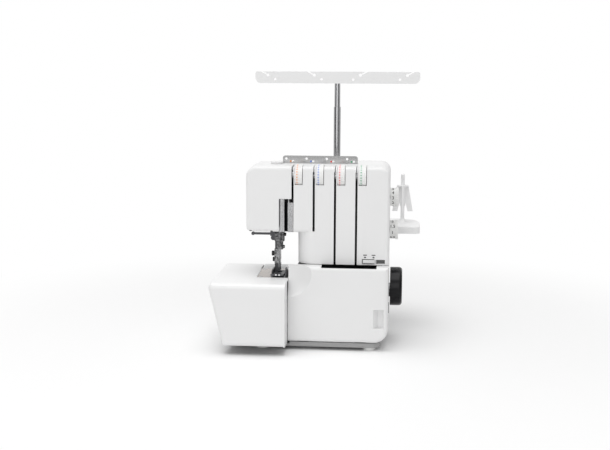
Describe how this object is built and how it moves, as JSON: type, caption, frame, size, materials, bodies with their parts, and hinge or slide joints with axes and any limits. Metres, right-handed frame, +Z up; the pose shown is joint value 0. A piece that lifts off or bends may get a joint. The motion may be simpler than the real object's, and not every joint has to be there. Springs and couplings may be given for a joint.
{
  "type": "serger overlock machine",
  "caption": "Home overlock sewing machine with thread tension dials, needle and looper drive, trimming knife, hinged looper and side covers, handwheel and telescopic thread stand.",
  "frame": {"origin": "middle of the whole outline, on the plane that the feet stand on", "axes": "+X to the sewer's right, -Y towards the sewer, +Z up"},
  "size_m": [0.3246, 0.282, 0.4302],
  "materials": {
    "white_casing": "satin",
    "pale_grey": "satin",
    "white_foot": "matt",
    "dark_plastic": "matt",
    "black_gloss": "gloss",
    "steel": "brushed",
    "knife_steel": "ground",
    "chrome": "polished",
    "cast_frame": "cast",
    "bronze": "plain",
    "motor_paint": "satin",
    "rubber": "matt",
    "lamp_lens": "frosted"
  },
  "bodies": {
    "machine": {"base_pan": "pale_grey", "rubber_feet": "white_foot", "machine_frame": "cast_frame", "front_cover": "white_casing", "face_cover": "white_casing", "top_cover": "white_casing", "rear_cover": "white_casing", "end_cover": "white_casing", "take_up_cover": "chrome", "rear_bed_cover": "white_casing", "bed_cover": "dark_plastic", "needle_plate": "steel", "lower_knife": "steel", "shaft_bushes": "bronze", "motor": "motor_paint", "drive_belt": "rubber", "presser_spring": "steel", "tension_discs": "steel", "power_socket_block": "dark_plastic", "sewing_lamp": "lamp_lens", "spool_stand": "pale_grey", "spool_pins": "pale_grey", "spool_cones": "pale_grey", "pole_base_tube": "chrome", "upper_thread_guide": "chrome", "casing_screws": "steel"},
    "main_shaft": {"main_shaft": "steel", "handwheel": "black_gloss", "shaft_pulley": "dark_plastic"},
    "motor_rotor": {"motor_pulley": "steel"},
    "needle_bar": {"needle_bar": "steel", "needle_clamp": "steel", "needles": "steel"},
    "needle_rocker": {"needle_rocker": "steel"},
    "connecting_rod": {"connecting_rod": "steel"},
    "upper_looper": {"upper_looper": "steel"},
    "lower_looper": {"lower_looper": "steel"},
    "upper_knife": {"upper_knife": "knife_steel"},
    "main_feed": {"main_feed_dog": "steel"},
    "differential_feed": {"differential_feed_dog": "steel"},
    "presser_bar": {"presser_bar": "steel", "presser_foot_holder": "steel", "presser_foot": "knife_steel"},
    "presser_lifter": {"presser_lifter": "knife_steel"},
    "pressure_knob": {"pressure_knob": "white_casing"},
    "left_needle_dial": {"left_needle_tension_dial": "white_casing"},
    "right_needle_dial": {"right_needle_tension_dial": "white_casing"},
    "upper_looper_dial": {"upper_looper_tension_dial": "white_casing"},
    "lower_looper_dial": {"lower_looper_tension_dial": "white_casing"},
    "stitch_length_dial": {"stitch_length_dial": "white_casing"},
    "differential_dial": {"differential_feed_dial": "white_casing"},
    "looper_cover_rod": {"looper_cover_hinge_rod": "steel"},
    "looper_cover": {"looper_cover": "white_casing"},
    "side_cover": {"side_cover": "white_casing", "cloth_plate": "white_casing"},
    "pole_middle": {"pole_middle_tube": "chrome"},
    "pole_top": {"pole_top_tube": "chrome"},
    "guide_bar": {"thread_guide_bar": "pale_grey"},
    "selector": {"selector_slider": "white_casing"},
    "power_switch": {"power_switch": "dark_plastic"}
  },
  "joints": [
    {"name": "handwheel_turn", "type": "hinge", "parent": "machine", "child": "main_shaft", "pos_m": [0, -0.031, 0.091], "axis": [1, 0, 0], "continuous": true},
    {"name": "motor_turn", "type": "hinge", "parent": "machine", "child": "motor_rotor", "pos_m": [0, -0.001, 0.046], "axis": [1, 0, 0], "continuous": true},
    {"name": "needle_stroke", "type": "slide", "parent": "machine", "child": "needle_bar", "axis": [0, 0, 1], "range_m": [-0.025, 0]},
    {"name": "rocker_swing", "type": "hinge", "parent": "machine", "child": "needle_rocker", "pos_m": [0, -0.008, 0.222], "axis": [1, 0, 0], "range_deg": [0, 31.1]},
    {"name": "rod_swing", "type": "hinge", "parent": "needle_rocker", "child": "connecting_rod", "pos_m": [0, -0.031, 0.22839], "axis": [1, 0, 0], "range_deg": [-31.1, 0]},
    {"name": "upper_looper_swing", "type": "hinge", "parent": "machine", "child": "upper_looper", "pos_m": [-0.008, -0.064, 0.05], "axis": [0, -1, 0], "range_deg": [0, 12.05]},
    {"name": "lower_looper_swing", "type": "hinge", "parent": "machine", "child": "lower_looper", "pos_m": [-0.048, -0.058, 0.04], "axis": [0, 1, 0], "range_deg": [0, 12.05]},
    {"name": "upper_knife_stroke", "type": "slide", "parent": "machine", "child": "upper_knife", "axis": [0, 0, 1], "range_m": [-0.008, 0]},
    {"name": "main_feed", "type": "slide", "parent": "machine", "child": "main_feed", "axis": [0, 1, 0], "range_m": [-0.004, 0]},
    {"name": "differential_feed", "type": "slide", "parent": "machine", "child": "differential_feed", "axis": [0, 1, 0], "range_m": [-0.0035, 0]},
    {"name": "presser_lift", "type": "slide", "parent": "machine", "child": "presser_bar", "axis": [0, 0, 1], "range_m": [0, 0.006], "deforming": ["presser_spring"]},
    {"name": "lifter_swing", "type": "hinge", "parent": "machine", "child": "presser_lifter", "pos_m": [-0.067, 0, 0.1665], "axis": [0, 1, 0], "range_deg": [0, 60.05]},
    {"name": "pressure_turn", "type": "hinge", "parent": "machine", "child": "pressure_knob", "pos_m": [-0.067, -0.038, 0.29], "axis": [0, 0, 1], "range_deg": [-180, 180]},
    {"name": "left_needle_tension", "type": "hinge", "parent": "machine", "child": "left_needle_dial", "pos_m": [-0.028, -0.0677, 0.2717], "axis": [1, 0, 0], "range_deg": [-140, 140]},
    {"name": "right_needle_tension", "type": "hinge", "parent": "machine", "child": "right_needle_dial", "pos_m": [0.005, -0.0677, 0.2717], "axis": [1, 0, 0], "range_deg": [-140, 140]},
    {"name": "upper_looper_tension", "type": "hinge", "parent": "machine", "child": "upper_looper_dial", "pos_m": [0.038, -0.0677, 0.2717], "axis": [1, 0, 0], "range_deg": [-140, 140]},
    {"name": "lower_looper_tension", "type": "hinge", "parent": "machine", "child": "lower_looper_dial", "pos_m": [0.071, -0.0677, 0.2717], "axis": [1, 0, 0], "range_deg": [-140, 140]},
    {"name": "stitch_length_turn", "type": "hinge", "parent": "machine", "child": "stitch_length_dial", "pos_m": [0.12, -0.021, 0.234], "axis": [1, 0, 0], "range_deg": [-60, 180]},
    {"name": "differential_turn", "type": "hinge", "parent": "machine", "child": "differential_dial", "pos_m": [0.12, -0.021, 0.1814], "axis": [1, 0, 0], "range_deg": [-100, 100]},
    {"name": "looper_cover_slide", "type": "slide", "parent": "machine", "child": "looper_cover_rod", "axis": [1, 0, 0], "range_m": [0, 0.008]},
    {"name": "looper_cover_swing", "type": "hinge", "parent": "looper_cover_rod", "child": "looper_cover", "pos_m": [0.03, -0.0945, 0.02], "axis": [1, 0, 0], "range_deg": [0, 82]},
    {"name": "side_cover_swing", "type": "hinge", "parent": "machine", "child": "side_cover", "pos_m": [-0.128, 0.014, 0.05], "axis": [0, 0, -1], "range_deg": [0, 90]},
    {"name": "pole_middle_slide", "type": "slide", "parent": "machine", "child": "pole_middle", "axis": [0, 0, 1], "range_m": [-0.076, 0]},
    {"name": "pole_top_slide", "type": "slide", "parent": "pole_middle", "child": "pole_top", "axis": [0, 0, 1], "range_m": [-0.032, 0]},
    {"name": "guide_bar_turn", "type": "hinge", "parent": "pole_top", "child": "guide_bar", "pos_m": [0.022, 0.064, 0.42], "axis": [0, 0, 1], "range_deg": [-90, 90]},
    {"name": "selector_slide", "type": "slide", "parent": "machine", "child": "selector", "axis": [1, 0, 0], "range_m": [0, 0.013]},
    {"name": "power_switch_rock", "type": "hinge", "parent": "machine", "child": "power_switch", "pos_m": [0.108, 0.021, 0.072], "axis": [0, 1, 0], "range_deg": [-8, 8]}
  ],
  "couplings": [
    {"joint": "motor_turn", "follows": "handwheel_turn", "ratio": 3.25},
    {"joint": "rocker_swing", "follows": "needle_stroke", "rad_per_m": -21.676},
    {"joint": "rod_swing", "follows": "needle_stroke", "rad_per_m": 21.676},
    {"joint": "upper_looper_swing", "follows": "needle_stroke", "rad_per_m": -8.3776},
    {"joint": "lower_looper_swing", "follows": "needle_stroke", "rad_per_m": -8.3776},
    {"joint": "upper_knife_stroke", "follows": "needle_stroke", "ratio": 0.32},
    {"joint": "main_feed", "follows": "needle_stroke", "ratio": 0.16},
    {"joint": "differential_feed", "follows": "needle_stroke", "ratio": 0.14},
    {"joint": "lifter_swing", "follows": "presser_lift", "rad_per_m": 174.53}
  ]
}
